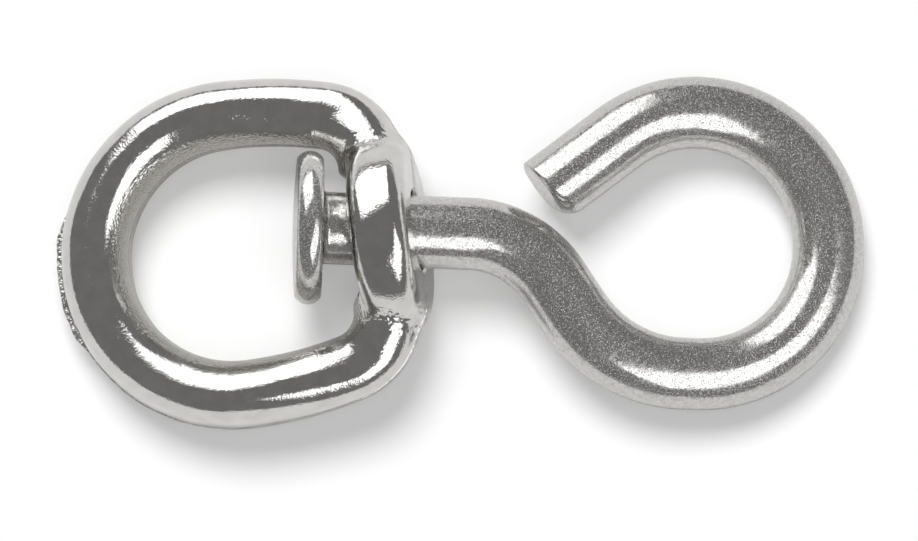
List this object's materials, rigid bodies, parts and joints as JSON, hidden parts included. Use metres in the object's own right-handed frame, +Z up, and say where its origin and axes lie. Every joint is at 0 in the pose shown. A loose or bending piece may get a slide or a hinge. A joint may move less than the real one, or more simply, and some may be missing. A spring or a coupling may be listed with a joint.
{
  "type": "eye swivel",
  "caption": "Eye swivel: a cast bow with a bored hub, and a bent wire hook whose upset head and shank let it spin freely in that hub.",
  "frame": {"origin": "on the floor under the middle of the box that holds the pair as it lies", "axes": "+X from the bow's far end to the hook's eye, +Z up from the floor it lies on"},
  "size_m": [0.0562, 0.0254, 0.0135],
  "materials": {
    "bow_plating": "bright nickel plate over a tumbled casting",
    "wire_plating": "satin nickel plate over drawn wire, finely speckled"
  },
  "bodies": {
    "bow": {"swivel_bow": "bow_plating"},
    "hook": {"eye_hook": "wire_plating"}
  },
  "joints": [
    {"name": "hook_spin", "type": "hinge", "parent": "bow", "child": "hook", "pos_m": [-0.00327, 0.00098, 0.007], "axis": [0.9881, 0, -0.1538], "continuous": true}
  ]
}
